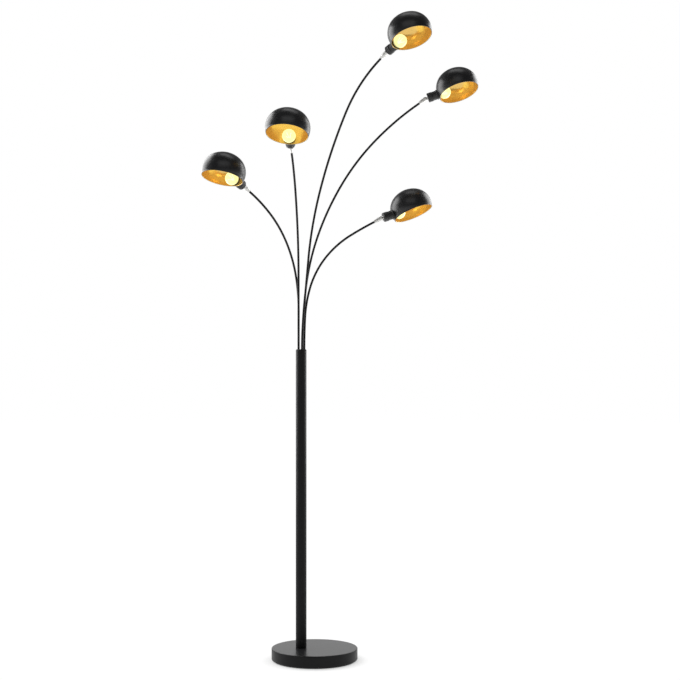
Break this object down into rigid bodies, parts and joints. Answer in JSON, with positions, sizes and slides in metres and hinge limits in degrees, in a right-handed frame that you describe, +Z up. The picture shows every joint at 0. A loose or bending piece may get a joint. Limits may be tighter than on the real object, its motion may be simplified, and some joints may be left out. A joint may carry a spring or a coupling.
{
  "type": "tree floor lamp",
  "caption": "Tree floor lamp: round weighted foot, upright post and slim bent arms that fan from its top, each with a ball swivel, a lampholder and a round open shade, gold inside.",
  "frame": {"origin": "centre of the round foot's underside, on the floor", "axes": "+Z up, along the post; -Y towards the side that the lamp is seen from; +X towards the side that the three long arms reach, seen on the right from that side"},
  "size_m": [0.8603, 0.4896, 2.0045],
  "materials": {
    "black_powder_coat": "satin black powder coat, fine texture",
    "gold_lining": "glossy gold paint, the inside of each shade",
    "satin_nickel": "satin nickel plate",
    "black_satin_plastic": "satin moulded, faint lengthwise ribs",
    "black_plastic": "plain moulded",
    "white_plastic": "plain moulded, hidden inside",
    "plated_steel": "zinc plated",
    "cast_cement": "rough cast",
    "felt": "felt",
    "bulb_glass": "clear round lamp, lit"
  },
  "bodies": {
    "stand": {"base_cover": "black_powder_coat", "base_weight": "cast_cement", "base_plate": "plated_steel", "base_pad": "felt", "plate_screws": "plated_steel", "base_bolt": "plated_steel", "base_washer": "plated_steel", "cord_inlet": "black_plastic", "terminal_block": "white_plastic", "post_tube": "black_powder_coat", "post_plug": "plated_steel", "top_cap": "black_powder_coat", "arm_guide": "white_plastic", "guide_screw": "plated_steel", "cap_screws": "black_powder_coat"},
    "arm_1": {"arm_1": "black_powder_coat", "ferrule_1": "satin_nickel"},
    "swivel_1": {"friction_cup_1": "white_plastic"},
    "head_1": {"ball_stud_1": "satin_nickel", "holder_cap_1": "black_satin_plastic", "lampholder_1": "black_satin_plastic", "shade_ring_1": "black_satin_plastic", "shade_1": "black_powder_coat", "bulb_1": "bulb_glass"},
    "arm_2": {"arm_2": "black_powder_coat", "ferrule_2": "satin_nickel"},
    "swivel_2": {"friction_cup_2": "white_plastic"},
    "head_2": {"ball_stud_2": "satin_nickel", "holder_cap_2": "black_satin_plastic", "lampholder_2": "black_satin_plastic", "shade_ring_2": "black_satin_plastic", "shade_2": "black_powder_coat", "bulb_2": "bulb_glass"},
    "arm_3": {"arm_3": "black_powder_coat", "ferrule_3": "satin_nickel"},
    "swivel_3": {"friction_cup_3": "white_plastic"},
    "head_3": {"ball_stud_3": "satin_nickel", "holder_cap_3": "black_satin_plastic", "lampholder_3": "black_satin_plastic", "shade_ring_3": "black_satin_plastic", "shade_3": "black_powder_coat", "bulb_3": "bulb_glass"},
    "arm_4": {"arm_4": "black_powder_coat", "ferrule_4": "satin_nickel"},
    "swivel_4": {"friction_cup_4": "white_plastic"},
    "head_4": {"ball_stud_4": "satin_nickel", "holder_cap_4": "black_satin_plastic", "lampholder_4": "black_satin_plastic", "shade_ring_4": "black_satin_plastic", "shade_4": "black_powder_coat", "bulb_4": "bulb_glass"},
    "arm_5": {"arm_5": "black_powder_coat", "ferrule_5": "satin_nickel"},
    "swivel_5": {"friction_cup_5": "white_plastic"},
    "head_5": {"ball_stud_5": "satin_nickel", "holder_cap_5": "black_satin_plastic", "lampholder_5": "black_satin_plastic", "shade_ring_5": "black_satin_plastic", "shade_5": "black_powder_coat", "bulb_5": "bulb_glass"}
  },
  "joints": [
    {"name": "arm_1_swivel", "type": "hinge", "parent": "stand", "child": "arm_1", "pos_m": [-0.03941, -0.00951, 0.963], "axis": [0, 0, 1], "range_deg": [-20, 20]},
    {"name": "head_1_turn", "type": "hinge", "parent": "arm_1", "child": "swivel_1", "pos_m": [0.22365, -0.14528, 1.89574], "axis": [0.6629, -0.3421, 0.666], "range_deg": [-170, 170]},
    {"name": "head_1_tilt", "type": "hinge", "parent": "swivel_1", "child": "head_1", "pos_m": [0.22365, -0.14528, 1.89574], "axis": [0.7453, 0.3867, -0.5431], "range_deg": [-56.4, 11.6]},
    {"name": "arm_2_swivel", "type": "hinge", "parent": "stand", "child": "arm_2", "pos_m": [-0.03941, 0.00951, 0.963], "axis": [0, 0, 1], "range_deg": [-20, 20]},
    {"name": "head_2_turn", "type": "hinge", "parent": "arm_2", "child": "swivel_2", "pos_m": [0.35408, 0.03841, 1.78235], "axis": [0.8112, 0.0596, 0.5818], "range_deg": [-170, 170]},
    {"name": "head_2_tilt", "type": "hinge", "parent": "swivel_2", "child": "head_2", "pos_m": [0.35408, 0.03841, 1.78235], "axis": [0.2279, 0.8839, -0.4083], "range_deg": [-52.9, 15.1]},
    {"name": "arm_3_swivel", "type": "hinge", "parent": "stand", "child": "arm_3", "pos_m": [-0.0325, 0, 0.963], "axis": [0, 0, 1], "range_deg": [-20, 20]},
    {"name": "head_3_turn", "type": "hinge", "parent": "arm_3", "child": "swivel_3", "pos_m": [0.21275, 0.03359, 1.40105], "axis": [0.8756, 0.1199, 0.468], "range_deg": [-170, 170]},
    {"name": "head_3_tilt", "type": "hinge", "parent": "swivel_3", "child": "head_3", "pos_m": [0.21275, 0.03359, 1.40105], "axis": [-0.4149, 0.6828, 0.6013], "range_deg": [-46.5, 21.5]},
    {"name": "arm_4_swivel", "type": "hinge", "parent": "stand", "child": "arm_4", "pos_m": [-0.05059, 0.00588, 0.963], "axis": [0, 0, 1], "range_deg": [-20, 6]},
    {"name": "head_4_turn", "type": "hinge", "parent": "arm_4", "child": "swivel_4", "pos_m": [-0.21677, -0.12583, 1.48676], "axis": [-0.6461, -0.5121, 0.5659], "range_deg": [-170, 170]},
    {"name": "head_4_tilt", "type": "hinge", "parent": "swivel_4", "child": "head_4", "pos_m": [-0.21677, -0.12583, 1.48676], "axis": [0.743, -0.2525, 0.6198], "range_deg": [-57.8, 10.2]},
    {"name": "arm_5_swivel", "type": "hinge", "parent": "stand", "child": "arm_5", "pos_m": [-0.05059, -0.00588, 0.963], "axis": [0, 0, 1], "range_deg": [-20, 20]},
    {"name": "head_5_turn", "type": "hinge", "parent": "arm_5", "child": "swivel_5", "pos_m": [-0.06944, -0.18526, 1.60386], "axis": [-0.0763, -0.726, 0.6834], "range_deg": [-170, 170]},
    {"name": "head_5_tilt", "type": "hinge", "parent": "swivel_5", "child": "head_5", "pos_m": [-0.06944, -0.18526, 1.60386], "axis": [0.9964, -0.0299, 0.0795], "range_deg": [-57, 11]}
  ]
}
